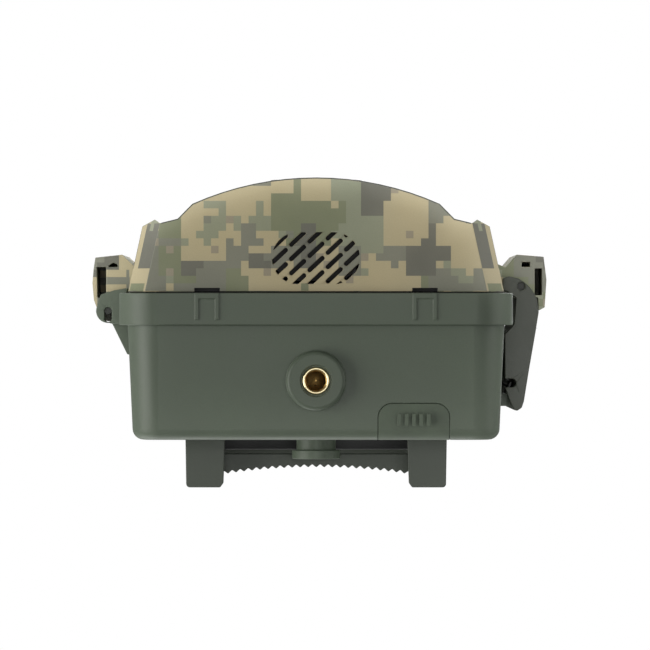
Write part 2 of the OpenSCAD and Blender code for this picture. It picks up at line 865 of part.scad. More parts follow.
module display_module() color([0.15, 0.15, 0.17])
    block([-37.5, board_y, 80.5], [13.5, panel_y - 2.8, 121.5]);

module display_window() color([0.1, 0.12, 0.14, 0.6])
    block([-36, panel_y - 1.5, 82], [12, panel_y - 0.3, 120]);

module inner_panel() color([0.1, 0.11, 0.1])
    difference() {
        sheet(panel_y - 2, panel_y) polygon(octagon(panel_y - 2, wall + 0.3));
        block([-36, -30, 82], [12, -20, 120]);
        // Pocket for the memory card
        block([-40, -30, 17], [-12, -20, 43.4]);
        // Slot of the mode knob and slot of the flat cable
        block([23.8, -30, 52.8], [35.2, -20, 59.2]);
        block([-46.6, -30, 48.5], [-44.2, -20, 63.5]);
        for (p = key_spots)
            rod_y(p[0], p[1], key_r + 0.3, -30, -20);
        for (p = panel_screws_at) {
            rod_y(p[0], p[1], 1.5, -30, -20);
            rod_y(p[0], p[1], 2.8, panel_y - 1.3, -20);
        }
    }

module panel_screws() color([0.5, 0.5, 0.52])
    for (p = panel_screws_at)
        translate([p[0], panel_y, p[1]]) rotate([0, 0, 180]) small_screw(0, 0, 1.3, 2.6, 1.25, 9);

// ---------------------------------------------------------------- controls and memory card

module card_socket() color([0.75, 0.75, 0.76])
    difference() {
        block([-39.4, board_y, 44], [-12.6, board_y + 3.3, 75]);
        block([-38.2, board_y + 0.6, 40], [-13.8, board_y + 2.9, 74.2]);
    }

module memory_card() color([0.1, 0.12, 0.3])
    sheet(board_y + 0.7, board_y + 2.8)
        polygon([[-38, 42], [-14, 42], [-14, 74], [-34, 74], [-38, 70]]);

module mode_switch() color([0.6, 0.6, 0.6])
    difference() {
        block([22, board_y, 51], [37, board_y + 3.2, 61]);
        block([23.6, board_y + 1.6, 54], [35.4, 0, 58]);
    }

module mode_knob() color([0.15, 0.15, 0.15])
    difference() {
        union() {
            block([24.6, board_y + 1.9, 54.3], [29.4, board_y + 4, 57.7]);
            block([24.2, board_y + 4, 53.2], [29.8, panel_y + 0.5, 58.8]);
        }
        for (k = [0 : 2])
            block([25 + 1.5 * k, panel_y, 52], [25.8 + 1.5 * k, panel_y + 1, 60]);
    }

module key_switches() color([0.5, 0.5, 0.5])
    for (p = key_spots)
        block([p[0] - 2.6, board_y, p[1] - 2.6], [p[0] + 2.6, board_y + 2.4 - key_travel, p[1] + 2.6]);

module key(k) color([0.2, 0.2, 0.2]) {
    p = key_spots[k];
    difference() {
        union() {
            rod_y(p[0], p[1], key_r, board_y + 3.4, panel_y + 0.4);
            rod_y(p[0], p[1], key_r + 0.8, board_y + 3.4, board_y + 4.4);
            rod_y(p[0], p[1], 1.2, board_y + 2.6, board_y + 3.4);
        }
        // Dished top
        translate([p[0], panel_y + 8, p[1]]) sphere(r = 8);
    }
}

module key_up() key(0);
module key_down() key(1);
module key_left() key(2);
module key_right() key(3);
module key_ok() key(4);
module key_menu() key(5);
module key_play() key(6);

// ---------------------------------------------------------------- latch lever

// Outer edge, from the pivot end to the finger end
lever_outer = [[53.4, -28.6], [55.95, -28], [57.7, -26.9], [59.1, -25.6], [60.3, -24], [61.1, -22.2],
               [61.6, -18.7], [60.9, -14.4], [59, -3.3], [57.5, 6], [56.9, 7.8], [55.65, 8.65], [54.7, 8.45]];

module lever_outline() {
    difference() {
        polygon(concat(
            lever_outer,
            [[53.3, 5.2], [52.3, 2.1], [52.2, -0.25], [52.15, -12.6], [53, -13.5], [54.1, -14.4],
             [54.8, -15.6], [55.3, -22.6], [53.2, -24.2], [51.65, -24.8], [51.65, -28]]
        ));
        // Hook for the keeper
        translate([50, keeper[1] - 1.17]) square([keeper[0] - 50, 2.34]);
        translate(keeper) circle(r = 1.17);
        translate(latch) circle(r = latch_pin_r + 0.03);
    }
}

module lever_wall() {
    polygon([[60.9, -14.2], [59, -3.3], [57.5, 6], [56.9, 7.8], [55.65, 8.65], [54.7, 8.45], [54.2, 6.6],
             [55.2, 5.2], [56.5, -3.6], [58.3, -14.2]]);
}

module latch_lever() color([0.29, 0.3, 0.27]) {
    both_ends() {
        slab(cheek_z[0], cheek_z[1]) lever_outline();
        slab(rib_z, rib_z + 3) intersection() {
            lever_outline();
            translate([50, -13.8]) square([12, 30]);
        }
    }
    slab(cheek_z[0], case_h - cheek_z[0]) lever_wall();
}

// ---------------------------------------------------------------- assembly

rear_housing();
door_gasket();
tripod_insert();
rear_insert();
tree_bracket();
bracket_screws();
latch_keeper();
battery_tray();
battery_cells();
battery_springs();
battery_contacts();
battery_terminals();
tray_screws();
power_board();
usb_socket();
board_screws();
flat_cable();
usb_cover();
front_cover();
front_plate();
hinge_pin();
latch_pin();
ir_window();
ir_board();
ir_leds();
front_screws();
lens_hood();
lens_window();
lens_barrel();
lens_elements();
image_sensor();
pir_lens();
pir_sensor();
light_sensor();
indicator_light();
main_board();
speaker();
grille_mesh();
microphone();
display_module();
display_window();
inner_panel();
panel_screws();
card_socket();
mode_switch();
key_switches();
key_up();
key_down();
key_left();
key_right();
key_ok();
key_menu();
key_play();
mode_knob();
memory_card();
latch_lever();
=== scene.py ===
"""Looks of a trail camera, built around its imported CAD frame. Metres, +Z up, lens along -Y."""
import json
import math

import bmesh
import bpy
import numpy as np
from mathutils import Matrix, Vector
from mathutils.geometry import delaunay_2d_cdt

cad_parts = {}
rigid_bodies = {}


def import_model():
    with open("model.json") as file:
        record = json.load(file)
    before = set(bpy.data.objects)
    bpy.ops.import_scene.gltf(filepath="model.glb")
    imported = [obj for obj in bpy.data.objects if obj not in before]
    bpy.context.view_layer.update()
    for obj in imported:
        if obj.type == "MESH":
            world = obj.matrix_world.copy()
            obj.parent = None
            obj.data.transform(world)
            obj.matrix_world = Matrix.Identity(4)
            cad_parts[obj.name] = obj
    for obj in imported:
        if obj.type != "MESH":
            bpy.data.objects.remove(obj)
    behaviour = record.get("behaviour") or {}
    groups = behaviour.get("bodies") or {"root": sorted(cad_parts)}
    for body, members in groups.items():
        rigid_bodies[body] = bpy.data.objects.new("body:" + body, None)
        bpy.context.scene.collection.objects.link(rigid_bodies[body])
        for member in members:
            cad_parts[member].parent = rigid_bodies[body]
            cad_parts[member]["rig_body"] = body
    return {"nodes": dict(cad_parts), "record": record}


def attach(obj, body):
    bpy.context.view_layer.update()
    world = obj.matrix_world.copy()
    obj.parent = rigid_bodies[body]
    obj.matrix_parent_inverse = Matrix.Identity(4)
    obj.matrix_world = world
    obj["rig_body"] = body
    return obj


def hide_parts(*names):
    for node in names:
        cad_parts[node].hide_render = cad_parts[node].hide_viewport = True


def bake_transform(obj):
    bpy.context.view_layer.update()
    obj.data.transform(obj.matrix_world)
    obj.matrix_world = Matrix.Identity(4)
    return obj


MM = 0.001
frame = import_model()
nodes = frame["nodes"]
bodies_of = {n: o["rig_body"] for n, o in nodes.items()}
slot_of = {s["node"]: s["material_slot"] for s in frame["record"]["subparts"]}
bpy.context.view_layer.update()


# ---------------------------------------------------------------- node helpers

class Tree:
    """A material's node tree, with short calls for the nodes used here."""

    def __init__(self, name):
        self.mat = bpy.data.materials.new(name)
        self.mat.use_nodes = True
        self.nt = self.mat.node_tree
        self.bsdf = self.nt.nodes["Principled BSDF"]
        self.where = self.new("ShaderNodeTexCoord").outputs["Object"]

    def new(self, kind, **settings):
        node = self.nt.nodes.new(kind)
        for key, value in settings.items():
            setattr(node, key, value)
        return node

    def put(self, socket, value):
        """Links an output to the socket, or sets the socket's value."""
        if isinstance(value, bpy.types.NodeSocket):
            self.nt.links.new(value, socket)
        elif value is not None:
            socket.default_value = value

    def math(self, op, a, b=None):
        node = self.new("ShaderNodeMath", operation=op)
        self.put(node.inputs[0], a)
        self.put(node.inputs[1], b)
        return node.outputs[0]

    def vec(self, op, a, b=None):
        node = self.new("ShaderNodeVectorMath", operation=op)
        self.put(node.inputs[0], a)
        self.put(node.inputs[1], b)
        return node.outputs[0]

    def noise(self, scale, detail=2.0, rough=0.5, where=None):
        node = self.new("ShaderNodeTexNoise")
        self.put(node.inputs["Vector"], where or self.where)
        node.inputs["Scale"].default_value = scale
        node.inputs["Detail"].default_value = detail
        node.inputs["Roughness"].default_value = rough
        return node.outputs["Fac"]

    def voronoi(self, scale, feature="F1", where=None):
        node = self.new("ShaderNodeTexVoronoi", feature=feature)
        self.put(node.inputs["Vector"], where or self.where)
        node.inputs["Scale"].default_value = scale
        return node.outputs["Distance"]

    def ramp(self, fac, *stops):
        node = self.new("ShaderNodeValToRGB")
        self.put(node.inputs["Fac"], fac)
        elements = node.color_ramp.elements
        while len(elements) < len(stops):
            elements.new(0.5)
        for element, (at, colour) in zip(elements, stops):
            element.position = at
            element.color = (*colour, 1) if len(colour) == 3 else colour
        return node.outputs["Color"]

    def span(self, fac, low, high, out_low, out_high):
        """fac from low..high to out_low..out_high, held at both ends."""
        node = self.new("ShaderNodeMapRange")
        self.put(node.inputs["Value"], fac)
        limits = (("From Min", low), ("From Max", high), ("To Min", out_low), ("To Max", out_high))
        for key, value in limits:
            node.inputs[key].default_value = value
        return node.outputs["Result"]

    def mix(self, fac, a, b):
        node = self.new("ShaderNodeMix", data_type="RGBA")
        self.put(node.inputs["Factor"], fac)
        for socket, value in ((node.inputs[6], a), (node.inputs[7], b)):
            self.put(socket, (*value, 1) if isinstance(value, tuple) else value)
        return node.outputs[2]

    def split(self, vector):
        node = self.new("ShaderNodeSeparateXYZ")
        self.put(node.inputs[0], vector)
        return node.outputs

    def join(self, x, y, z):
        node = self.new("ShaderNodeCombineXYZ")
        for socket, value in zip(node.inputs, (x, y, z)):
            self.put(socket, value)
        return node.outputs[0]

    def bump(self, height, strength, distance, under=None):
        node = self.new("ShaderNodeBump")
        self.put(node.inputs["Height"], height)
        node.inputs["Strength"].default_value = strength
        node.inputs["Distance"].default_value = distance
        self.put(node.inputs["Normal"], under)
        return node.outputs["Normal"]

    def finish(self, colour=None, rough=None, normal=None, **fixed):
        """Sets the shader's main inputs; fixed holds further ones, with _ for a space."""
        for key, value in (("Base Color", colour), ("Roughness", rough), ("Normal", normal)):
            if value is not None:
                self.put(self.bsdf.inputs[key], (*value, 1) if isinstance(value, tuple) else value)
        for key, value in fixed.items():
            self.bsdf.inputs[key.replace("_", " ")].default_value = value
        return self.mat


def linear(r, g, b):
    """An 8-bit sRGB colour as linear values."""
    return tuple(((c / 255 + 0.055) / 1.055) ** 2.4 if c > 10 else c / 255 / 12.92 for c in (r, g, b))


def shade(colour, k):
    """The colour made darker or lighter by the factor k."""
    return tuple(min(1.0, c * k) for c in colour)


# ---------------------------------------------------------------- materials

def moulded(name, colour, rough=0.5, grain=2600, relief=0.25, depth=0.00003, **fixed):
    """Moulded plastic: fine spark-eroded grain, faint flow mottling, dust-worn gloss."""
    t = Tree(name)
    mottle = t.noise(38, 3, 0.55)
    fine = t.noise(grain, 3, 0.6)
    c = t.ramp(mottle, (0.25, shade(colour, 0.9)), (0.75, shade(colour, 1.08)))
    c = t.mix(t.span(fine, 0.35, 0.7, 0.0, 0.14), c, shade(colour, 0.7))
    r = t.math("ADD", t.span(mottle, 0.3, 0.7, rough - 0.05, rough + 0.07),
               t.span(fine, 0.3, 0.7, -0.05, 0.05))
    n = t.bump(fine, relief, depth)
    n = t.bump(t.noise(420, 2, 0.5), relief * 0.4, depth * 4, n)
    return t.finish(c, r, n, **fixed)


def metal(name, colour, rough=0.28, streak=(1, 1, 1), scale=900, **fixed):
    """Turned, drawn or plated metal, with streaks along one way and handling marks."""
    t = Tree(name)
    lines = t.noise(scale, 3, 0.6, t.vec("MULTIPLY", t.where, streak))
    marks = t.noise(160, 4, 0.6)
    c = t.ramp(marks, (0.3, shade(colour, 0.82)), (0.7, shade(colour, 1.06)))
    r = t.math("ADD", t.span(lines, 0.3, 0.7, rough - 0.07, rough + 0.08),
               t.span(marks, 0.4, 0.75, 0.0, 0.08))
    return t.finish(c, r, t.bump(lines, 0.12, 0.00002), Metallic=1.0, **fixed)


CELL = 2.03 * MM  # edge of one camouflage cell
PIXEL_WAVE = 21000.0  # radians per metre over the display's pixels
CONDUCTOR_PITCH = 1.0 * MM
TAN = linear(179, 168, 136)
SAGE = linear(139, 143, 122)
GREY = linear(124, 125, 112)
OLIVE = linear(122, 127, 100)
DARK = linear(104, 104, 94)
WARM = linear(148, 140, 122)
# Colour, seed, patches per cell and level of its field
CAMO_LAYERS = ((SAGE, 21, 0.16, 0.635), (OLIVE, 23, 0.12, 0.69),
               (DARK, 27, 0.13, 0.66), (GREY, 25, 0.19, 0.69))
# Blocks that join a patch: width and height in cells, change of level, share left out
CAMO_ARMS = ((2, 3, 0.005, 0), (1, 3, -0.05, 0.62), (3, 1, -0.05, 0.62), (1, 1, -0.06, 0.72))


def camouflage(name):
    """Printed camouflage of square cells: patches of a soft field, stepped by overlapping block sizes."""
    t = Tree(name)
    x, y, z = t.split(t.where)
    geometry = t.new("ShaderNodeNewGeometry")
    turn = t.new("ShaderNodeVectorTransform", vector_type="NORMAL",
                 convert_from="WORLD", convert_to="OBJECT")
    t.put(turn.inputs[0], geometry.outputs["True Normal"])
    _, ny, nz = (t.math("ABSOLUTE", v) for v in t.split(turn.outputs[0]))
    flat = t.math("GREATER_THAN", nz, 0.66)
    front = t.math("GREATER_THAN", ny, 0.7)

    def pick(side, a, b):
        """a where side is 1, b where it is 0."""
        other = t.math("SUBTRACT", 1.0, side)
        return t.math("ADD", t.math("MULTIPLY", side, a), t.math("MULTIPLY", other, b))

    u = pick(flat, x, pick(front, x, y))
    # The sloping end facets carry narrower cells
    v = pick(flat, y, t.math("MULTIPLY", z, t.span(nz, 0.5, 0.55, 1.0, 1.8)))
    # Each way of facing has its own part of the field
    plane = t.math("ADD", t.math("MULTIPLY", flat, 40.0), t.math("MULTIPLY", front, 15.0))
    cells = t.vec("SCALE", t.join(u, v, 0.0))
    cells.node.inputs["Scale"].default_value = 1 / CELL
    # Moved well away from zero, so that cell numbers are positive on the whole case
    cells = t.vec("ADD", cells, (210.0, 210.0, 0.0))
    # The ears carry more of the darker patches than the rest: painted shade on the ears
    ears_painted_shade = t.span(t.math("ABSOLUTE", x), 0.0515, 0.052, 0.0, 0.05)

    def blocks(w, h, seed, spread, level, dice_level):
        """1 on blocks of w x h cells where a soft field is over the level; the dice leave some out."""
        size = (w, h, 1.0)
        at = t.vec("FLOOR", t.vec("DIVIDE", cells, size))
        sx, sy, _ = t.split(t.vec("MULTIPLY", t.vec("ADD", at, (0.5, 0.5, 0.0)), size))
        field = t.noise(spread, 0.0, 0.5, t.join(sx, sy, t.math("ADD", plane, seed * 31.7)))
        # On the ears the field is raised, which paints shade there
        here = t.math("GREATER_THAN", t.math("ADD", field, ears_painted_shade), level)
        if dice_level <= 0:
            return here
        dice = t.new("ShaderNodeTexWhiteNoise", noise_dimensions="4D")
        t.put(dice.inputs["Vector"], at)
        t.put(dice.inputs["W"], t.math("ADD", plane, seed * 3.1 + w + 7 * h))
        return t.math("MULTIPLY", here, t.math("GREATER_THAN", dice.outputs["Value"], dice_level))

    def patches(seed, spread, level):
        """Blocks of several sizes over one field, with arms one cell wide reaching out of them."""
        out = blocks(3, 2, seed, spread, level, 0)
        for w, h, over, dice_level in CAMO_ARMS:
            out = t.math("MAXIMUM", out, blocks(w, h, seed, spread, level + over, dice_level))
        return out

    c = TAN
    for colour, seed, spread, level in CAMO_LAYERS:
        c = t.mix(patches(seed, spread, level), c, colour)
    c = t.mix(blocks(1, 1, 9, 0.3, 0.5, 0.96), c, WARM)
    fine = t.noise(3000, 2, 0.6)
    mottle = t.noise(60, 3, 0.5)
    c = t.mix(t.span(fine, 0.35, 0.75, 0.0, 0.08), c, (0.05, 0.05, 0.04))
    c = t.mix(t.span(mottle, 0.3, 0.7, 0.0, 0.05), c, (0.9, 0.88, 0.8))
    return t.finish(c, t.span(fine, 0.3, 0.7, 0.52, 0.66), t.bump(fine, 0.2, 0.00003))


def rubber(name, colour):
    """Matt rubber with dust in its fine grain."""
    t = Tree(name)
    dust = t.noise(120, 4, 0.6)
    fine = t.noise(2200, 3, 0.6)
    c = t.ramp(dust, (0.3, shade(colour, 0.85)), (0.75, shade(colour, 1.2)))
    return t.finish(c, t.span(dust, 0.3, 0.7, 0.6, 0.78), t.bump(fine, 0.3, 0.00003), Sheen_Weight=0.06)


def board():
    """Circuit board: solder resist over copper tracks, plated pads on a grid."""
    t = Tree("circuit_board")
    x, _, z = t.split(t.where)
    grid = t.join(x, z, 0.0)
    tracks = t.voronoi(260, "DISTANCE_TO_EDGE", t.vec("MULTIPLY", grid, (1.0, 1.7, 1.0)))
    line = t.math("LESS_THAN", tracks, 0.06)
    spots = t.voronoi(520, "F1", grid)
    pad = t.math("LESS_THAN", spots, 0.16)
    c = t.mix(line, linear(24, 74, 44), linear(40, 104, 60))
    c = t.mix(t.span(t.noise(200, 3), 0.3, 0.7, 0, 0.25), c, linear(14, 50, 30))
    c = t.mix(pad, c, linear(196, 178, 120))
    rise = t.math("MAXIMUM", line, pad)
    return t.finish(c, t.span(t.noise(500), 0.3, 0.7, 0.28, 0.42), t.bump(rise, 0.5, 0.00005))


def glassy(name, colour, rough=0.04, **fixed):
    """Clear or tinted glass and lamp plastic with a slight smear."""
    t = Tree(name)
    smear = t.noise(90, 4, 0.6)
    c = t.ramp(smear, (0.2, shade(colour, 0.94)), (0.8, shade(colour, 1.04)))
    return t.finish(c, t.span(smear, 0.45, 0.8, rough, rough + 0.04), **fixed)


def screen():
    """Display or image sensor: dark panel with a faint pixel grid."""
    t = Tree("display_panel")
    x, _, z = t.split(t.where)
    columns, rows = (t.math("SINE", t.math("MULTIPLY", v, PIXEL_WAVE)) for v in (x, z))
    wave = t.math("MULTIPLY", columns, rows)
    c = t.mix(t.span(wave, -1, 1, 0, 0.5), linear(26, 30, 36), linear(40, 46, 54))
    return t.finish(c, t.span(t.noise(70, 3), 0.3, 0.7, 0.2, 0.34), Coat_Weight=0.6)


def cell_wrap():
    """Battery wrap: dark sleeve with a copper-coloured band at the raised end, bare metal at both ends."""
    t = Tree("battery_wrap")
    t.where = t.new("ShaderNodeUVMap").outputs["UV"]
    u, v, _ = t.split(t.where)
    speck = t.noise(18, 4, 0.6, t.join(t.math("MULTIPLY", u, 6.0), t.math("MULTIPLY", v, 9.0), 0.0))
    sleeve = t.ramp(speck, (0.3, linear(38, 40, 42)), (0.7, linear(52, 54, 56)))
    band = t.ramp(speck, (0.3, linear(150, 96, 58)), (0.7, linear(172, 112, 70)))
    c = t.mix(t.math("GREATER_THAN", v, 0.72), sleeve, band)
    ends = t.math("MAXIMUM", t.math("GREATER_THAN", v, 0.93), t.math("LESS_THAN", v, 0.07))
    c = t.mix(ends, c, linear(182, 182, 180))
    t.put(t.bsdf.inputs["Metallic"], t.math("MULTIPLY", ends, 0.9))
    return t.finish(c, t.span(speck, 0.3, 0.7, 0.24, 0.36), t.bump(speck, 0.05, 0.00004), Coat_Weight=0.3)


def ribbon_skin():
    """Flat cable: side-by-side conductors showing through a pale skin."""
    t = Tree("flat_cable_skin")
    _, _, z = t.split(t.where)
    wave = t.math("SINE", t.math("MULTIPLY", z, 2 * math.pi / CONDUCTOR_PITCH))
    mottle = t.noise(300, 3)
    c = t.mix(t.span(wave, -0.2, 0.6, 0.0, 1.0), linear(196, 190, 172), linear(160, 152, 132))
    c = t.mix(t.span(mottle, 0.3, 0.7, 0.0, 0.15), c, linear(120, 112, 96))
    return t.finish(c, t.span(mottle, 0.3, 0.7, 0.3, 0.42), t.bump(wave, 0.4, 0.0001))


def sensor_dome():
    """Milky motion-sensor lens with its field of small lenslets."""
    t = Tree("sensor_dome")
    edge = t.voronoi(560, "DISTANCE_TO_EDGE")
    smear = t.noise(60, 3)
    c = t.ramp(smear, (0.3, linear(206, 207, 202)), (0.7, linear(222, 222, 217)))
    c = t.mix(t.math("LESS_THAN", edge, 0.05), c, linear(192, 194, 190))
    r = t.span(smear, 0.3, 0.7, 0.3, 0.42)
    return t.finish(c, r, t.bump(edge, 0.6, 0.0003), Subsurface_Weight=0.15)


GREEN = linear(85, 95, 81)
BRASS = (1.0, 0.83, 0.5)
MATERIALS = {
    "green_shell": moulded("green_plastic", GREEN, 0.46),
    "camo_shell": camouflage("camouflage_print"),
    "dark_plate": moulded("dark_olive_plastic", linear(64, 68, 58), 0.42),
    "dark_lever": moulded("lever_plastic", linear(66, 70, 61), 0.44),
    "black_plastic": moulded("black_plastic", linear(30, 30, 31), 0.44),
    "grey_plastic": moulded("grey_plastic", linear(116, 118, 119), 0.42),
    "white_plastic": moulded("milky_plastic", linear(214, 214, 208), 0.38, Subsurface_Weight=0.1),
    "black_rubber": rubber("black_rubber", linear(26, 26, 27)),
    "green_rubber": rubber("green_rubber", GREEN),
    "brass": metal("brass", BRASS, 0.13, (1, 1, 6)),
    "steel": metal("steel", (0.5, 0.5, 0.51), 0.3, (1, 1, 8)),
    "dark_steel": metal("blackened_steel", (0.14, 0.14, 0.14), 0.34),
    "battery": cell_wrap(),
    "contact": metal("nickel_plate", (0.74, 0.73, 0.7), 0.22),
    "board": board(),
    "cable": ribbon_skin(),
    "ir_glass": glassy("infrared_filter", linear(30, 12, 16), 0.05, Coat_Weight=0.8),
    "glass": glassy("clear_glass", (0.92, 0.95, 0.97), 0.02, Transmission_Weight=1.0, IOR=1.5),
    "led": glassy("lamp_dome", linear(150, 140, 160), 0.06, Transmission_Weight=0.75, IOR=1.5),
    "silicon": screen(),
    "amber": glassy("light_pipe", linear(200, 110, 50), 0.08, Transmission_Weight=0.6, IOR=1.5),
    "card": moulded("card_plastic", linear(38, 42, 62), 0.36),
}
for name, obj in nodes.items():
    obj.data.materials.clear()
    obj.data.materials.append(MATERIALS[slot_of[name]])
pin_paint = moulded("painted_pin", linear(48, 50, 46), 0.5)
for name in ("hinge_pin", "latch_pin"):
    nodes[name].data.materials[0] = pin_paint
nodes["pir_lens"].data.materials[0] = sensor_dome()
nodes["grille_mesh"].data.materials[0] = MATERIALS["black_rubber"]


# ---------------------------------------------------------------- mesh helpers

WELD = 0.002 * MM
FLAT_WITHIN = math.radians(0.6)  # faces of one plane, merged before the bevel
ROUNDED_FROM = math.radians(30)  # edges sharper than this are rounded
AREA_ERROR = 1e-10  # square metres


def add(name, bm_or_data, body, slot, replaces=(), material=None, smooth_angle=35):
    """A new piece from a bmesh or (vertices, faces), riding on a body and finished from a slot."""
    mesh = bpy.data.meshes.new(name)
    if isinstance(bm_or_data, bmesh.types.BMesh):
        bm_or_data.to_mesh(mesh)
        bm_or_data.free()
    else:
        mesh.from_pydata([tuple(v) for v in bm_or_data[0]], [], [tuple(f) for f in bm_or_data[1]])
    mesh.validate()
    obj = bpy.data.objects.new(name, mesh)
    bpy.context.scene.collection.objects.link(obj)
    mesh.materials.append(material or MATERIALS[slot])
    mesh.shade_smooth()
    mesh.set_sharp_from_angle(angle=math.radians(smooth_angle))
    if body:
        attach(obj, body)
    if replaces:
        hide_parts(*replaces)
    return obj


def tessellated_area(bm):
    """Face index -> area of its display triangles; it differs from the face's own where they overlap."""
    area = {}
    for loops in bm.calc_loop_triangles():
        a, b, c = (loop.vert.co for loop in loops)
        f = loops[0].face.index
        area[f] = area.get(f, 0) + (b - a).cross(c - a).length / 2
    return area


def mend(bm):
    """Triangulates flat regions that display wrongly, such as those with holes, from their outlines."""
    bm.faces.index_update()
    area = tessellated_area(bm)
    bad = [f for f in bm.faces if abs(area.get(f.index, 0) - f.calc_area()) > AREA_ERROR]
    done, made = set(), []
    for start in bad:
        if start in done:
            continue
        group, queue = {start}, [start]
        while queue:
            for e in queue.pop().edges:
                for f in e.link_faces:
                    if f not in group and f.normal.angle(start.normal, 9) < 0.01:
                        group.add(f)
                        queue.append(f)
        done |= group
        made.append((group, start.normal.copy()))
    for group, normal in made:
        every = {e for f in group for e in f.edges}
        rim = [e for e in every if sum(f in group for f in e.link_faces) == 1]
        verts = list({v for e in rim for v in e.verts})
        verts.sort(key=lambda v: tuple(v.co))
        index = {v: i for i, v in enumerate(verts)}
        turn = normal.to_track_quat("Z", "Y").inverted().to_matrix()
        flat = [(turn @ v.co * 1000).to_2d() for v in verts]
        edges = sorted(tuple(sorted((index[e.verts[0]], index[e.verts[1]]))) for e in rim)
        out, _, faces, source, _, _ = delaunay_2d_cdt(flat, edges, [], 0, 1e-6)
        segments = np.array([(*flat[a], *flat[b]) for a, b in edges])
        height = sum((turn @ v.co).z for v in verts) / len(verts)
        back = turn.transposed()
        bmesh.ops.delete(bm, geom=list(group), context="FACES_KEEP_BOUNDARY")
        real = []
        for i, ids in enumerate(source):
            if ids:
                real.append(verts[ids[0]])
            else:
                real.append(bm.verts.new(back @ Vector((out[i][0] / 1000, out[i][1] / 1000, height))))
        for face in faces:
            x, y = (sum(out[i][k] for i in face) / 3 for k in (0, 1))
            over = (segments[:, 1] > y) != (segments[:, 3] > y)
            s = segments[over]
            cross = s[:, 0] + (y - s[:, 1]) * (s[:, 2] - s[:, 0]) / (s[:, 3] - s[:, 1])
            if (cross > x).sum() % 2 == 0:
                continue
            corner = [real[i] for i in face]
            if len(set(corner)) < 3 or bm.faces.get(corner):
                continue
            bm.faces.new(corner)


def refined(node, edge, paint=None):
    """The CAD node's own shape with its moulded edges rounded: edge is the rounding in mm.
    paint is a second material and a test of the points, in mm, of the faces it goes on."""
    bm = bmesh.new()
    bm.from_mesh(nodes[node].data)
    bmesh.ops.remove_doubles(bm, verts=bm.verts, dist=WELD)
    bmesh.ops.dissolve_limit(bm, angle_limit=FLAT_WITHIN, verts=bm.verts, edges=bm.edges, delimit=set())
    chosen = [e for e in bm.edges if len(e.link_faces) == 2 and e.calc_face_angle(0) > ROUNDED_FROM]
    bmesh.ops.bevel(bm, geom=chosen, offset=edge * MM, offset_type="OFFSET", segments=2, profile=0.5,
                    affect="EDGES", clamp_overlap=False, miter_outer="SHARP", miter_inner="SHARP")
    bm.normal_update()
    mend(bm)
    bmesh.ops.holes_fill(bm, edges=[e for e in bm.edges if e.is_boundary], sides=0)
    bmesh.ops.recalc_face_normals(bm, faces=bm.faces)
    obj = add(node + "_moulding", bm, bodies_of[node], slot_of[node], [node], smooth_angle=50)
    if paint:
        second, inside = paint
        obj.data.materials.append(second)
        points = [v.co / MM for v in obj.data.vertices]
        for polygon in obj.data.polygons:
            polygon.material_index = int(all(inside(points[i]) for i in polygon.vertices))
    weighted = obj.modifiers.new("weighted", "WEIGHTED_NORMAL")
    weighted.keep_sharp = True
    return obj


# ---------------------------------------------------------------- moulded parts

CASE_MIDDLE_Z = 70


def recess_painted_shade(p):
    """Inside the recesses in front of the snap tabs: their faces are painted black as painted shade for
    the dark gaps.
    """
    return abs(abs(p.x) - 29.5) < 3.5 and p.y > -25.3 and abs(p.z - CASE_MIDDLE_Z) > 65.4


def rail_webs_painted_shade(p):
    """The webs between the rails: painted black as painted shade for the shade of the toothed edge."""
    return abs(p.x) < 26.95 and p.y < 20.2


for node, edge in (("rear_housing", 0.22), ("latch_lever", 0.25), ("usb_cover", 0.12),
                   ("lens_hood", 0.2), ("front_plate", 0.15), ("inner_panel", 0.2), ("battery_tray", 0.2)):
    refined(node, edge)
# The recess faces get the black rubber material as painted shade, not as a rubber part.
refined("front_cover", 0.16, paint=(MATERIALS["black_rubber"], recess_painted_shade))
# The webs behind the rails get the black material as painted shade.
bracket = refined("tree_bracket", 0.25, paint=(MATERIALS["black_plastic"], rail_webs_painted_shade))
# The bracket's green, darker than the case's, is painted shade for the bracket sitting behind the case.
bracket.data.materials[0] = moulded("bracket_green_painted_shade", linear(63, 69, 60), 0.46)


# ---------------------------------------------------------------- turned and wound parts

AROUND = 48


def ring(radius, z, around=AROUND):
    """Points of a level circle, in mm; radius may be a function of the angle."""
    angles = [2 * math.pi * k / around for k in range(around)]
    radii = [radius(a) if callable(radius) else radius for a in angles]
    return [(r * math.cos(a), r * math.sin(a), z) for r, a in zip(radii, angles)]


def tube(rings):
    """Vertices and faces through rings of equal length, closed by a fan at each end."""
    n = len(rings[0])
    verts = [p for r in rings for p in r]
    faces = [(i * n + k, i * n + (k + 1) % n, (i + 1) * n + (k + 1) % n, (i + 1) * n + k)
             for i in range(len(rings) - 1) for k in range(n)]
    for first, flip in ((0, True), (len(verts) - n, False)):
        centre = len(verts)
        verts.append(tuple(sum(verts[first + k][j] for k in range(n)) / n for j in range(3)))
        for k in range(n):
            face = (centre, first + k, first + (k + 1) % n)
            faces.append(face[::-1] if flip else face)
    return verts, faces


def wire(points, radius, sides):
    """Round wire through points in mm."""
    points = [Vector(p) for p in points]
    rings, side = [], Vector((0.31, 0.2, 0.93))
    for i, p in enumerate(points):
        along = (points[min(i + 1, len(points) - 1)] - points[max(i - 1, 0)]).normalized()
        side = (side - along * side.dot(along)).normalized()
        other = along.cross(side)
        turns = [2 * math.pi * k / sides for k in range(sides)]
        rings.append([tuple(p + radius * (math.cos(a) * side + math.sin(a) * other)) for a in turns])
    return tube(rings)


def joined(*shapes):
    """Several (vertices, faces) as one, brought from mm to metres."""
    verts, faces = [], []
    for v, f in shapes:
        faces += [tuple(i + len(verts) for i in face) for face in f]
        verts += [tuple(c * MM for c in p) for p in v]
    return verts, faces


